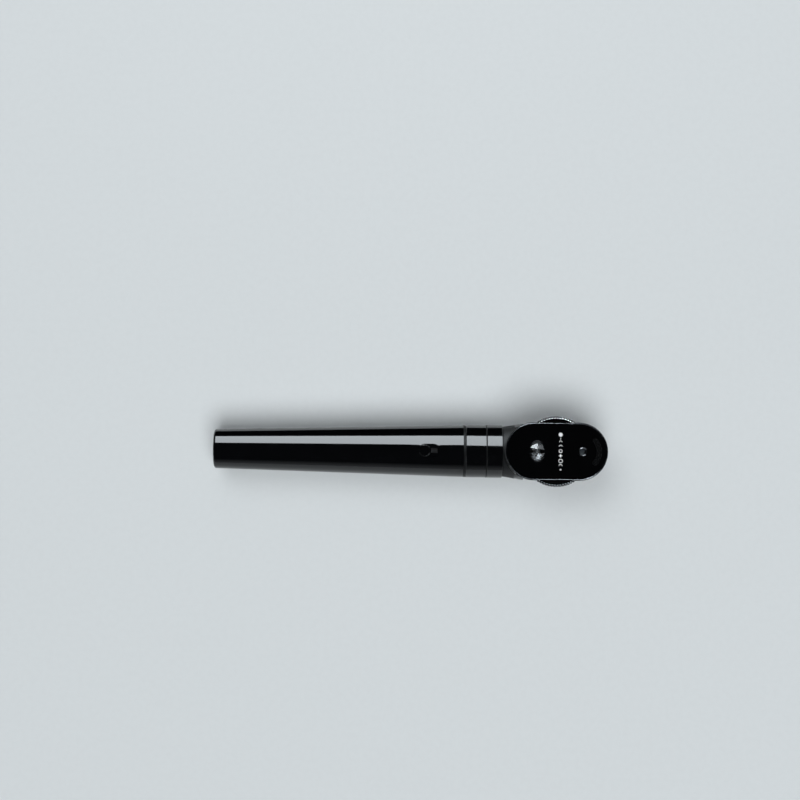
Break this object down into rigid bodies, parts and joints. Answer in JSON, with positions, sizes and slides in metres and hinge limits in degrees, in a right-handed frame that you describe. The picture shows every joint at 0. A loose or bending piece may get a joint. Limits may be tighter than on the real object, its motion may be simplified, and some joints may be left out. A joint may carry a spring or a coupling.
{
  "type": "ophthalmoscope",
  "caption": "Direct ophthalmoscope with a tapered battery handle, slide switch, adapter ring and an oval head with a lens wheel, an aperture wheel and an eyepiece plate.",
  "frame": {"origin": "middle of the length and width, on the flat of the patient side that the instrument lies on", "axes": "+X along the handle from its butt to the head, +Z out of the eyepiece side, +Y to the left of the head seen from the handle"},
  "size_m": [0.184, 0.0328, 0.0301],
  "materials": {
    "black_shell": "polished",
    "black_plate": "mirror polished",
    "black_collar": "polished black",
    "black_wheel": "satin",
    "soft_pad": "stippled matte",
    "dial_face": "printed",
    "magnifier_glass": "clear",
    "optical_glass": "coated",
    "filter_glass": "green tinted",
    "lamp_glass": "clear",
    "lamp_metal": "nickel plated",
    "tungsten": "drawn wire",
    "inner_plastic": "matte black",
    "insulator_plastic": "natural",
    "black_alloy": "black anodised",
    "front_silver": "front silvered",
    "spring_steel": "drawn",
    "contact_brass": "bright",
    "contact_strip": "nickel plated",
    "screw_steel": "blackened",
    "axle_steel": "ground",
    "mask_steel": "blackened",
    "cell_jacket": "printed jacket"
  },
  "bodies": {
    "handle": {"handle_tube": "black_shell", "spring_plate": "contact_strip", "battery_spring": "spring_steel", "battery_lower": "cell_jacket", "battery_upper": "cell_jacket", "return_strip": "contact_strip", "upper_strip": "contact_strip", "ground_ring": "contact_brass", "contact_carrier": "insulator_plastic", "centre_contact": "contact_brass", "centre_spring": "spring_steel"},
    "switch": {"switch_knob": "black_shell", "switch_slider": "inner_plastic", "switch_contact": "contact_strip"},
    "adapter": {"adapter_ring": "black_collar", "adapter_insulator": "insulator_plastic", "adapter_contact": "contact_brass"},
    "head": {"head_base": "black_collar", "plug_ring": "spring_steel", "bulb_holder": "inner_plastic", "bulb_base": "lamp_metal", "bulb_glass": "lamp_glass", "bulb_filament": "tungsten", "patient_cover": "black_shell", "eyepiece_cover": "black_shell", "face_plate": "black_plate", "brow_rest": "soft_pad", "magnifier": "magnifier_glass", "sight_glass": "optical_glass", "front_window": "optical_glass", "optics_chassis": "black_alloy", "chassis_screws": "screw_steel", "housing_screws": "screw_steel", "rear_barrel": "black_alloy", "front_barrel": "black_alloy", "condenser_lens": "optical_glass", "objective_lens": "optical_glass", "mirror": "front_silver", "mirror_holder": "inner_plastic", "aperture_axle": "axle_steel", "wheel_axle": "axle_steel", "detent_ball": "axle_steel", "detent_spring": "spring_steel"},
    "lens_wheel": {"lens_wheel": "black_wheel", "corrective_lenses": "optical_glass", "dioptre_dial": "dial_face"},
    "aperture_wheel": {"aperture_wheel": "black_wheel", "aperture_disc": "mask_steel", "red_free_filter": "filter_glass"}
  },
  "joints": [
    {"name": "switch_slide", "type": "slide", "parent": "handle", "child": "switch", "axis": [1, 0, 0], "range_m": [0, 0.0041]},
    {"name": "adapter_turn", "type": "hinge", "parent": "handle", "child": "adapter", "pos_m": [0.02823, 0, 0.014], "axis": [1, 0, 0], "range_deg": [-45, 0]},
    {"name": "head_pull", "type": "slide", "parent": "adapter", "child": "head", "axis": [1, 0, 0], "range_m": [0, 0.022]},
    {"name": "lens_wheel_spin", "type": "hinge", "parent": "head", "child": "lens_wheel", "pos_m": [0.06813, 0, 0.0222], "axis": [0, 0, 1], "continuous": true},
    {"name": "aperture_wheel_spin", "type": "hinge", "parent": "head", "child": "aperture_wheel", "pos_m": [0.05543, 0, 0.0092], "axis": [1, 0, 0], "continuous": true}
  ]
}
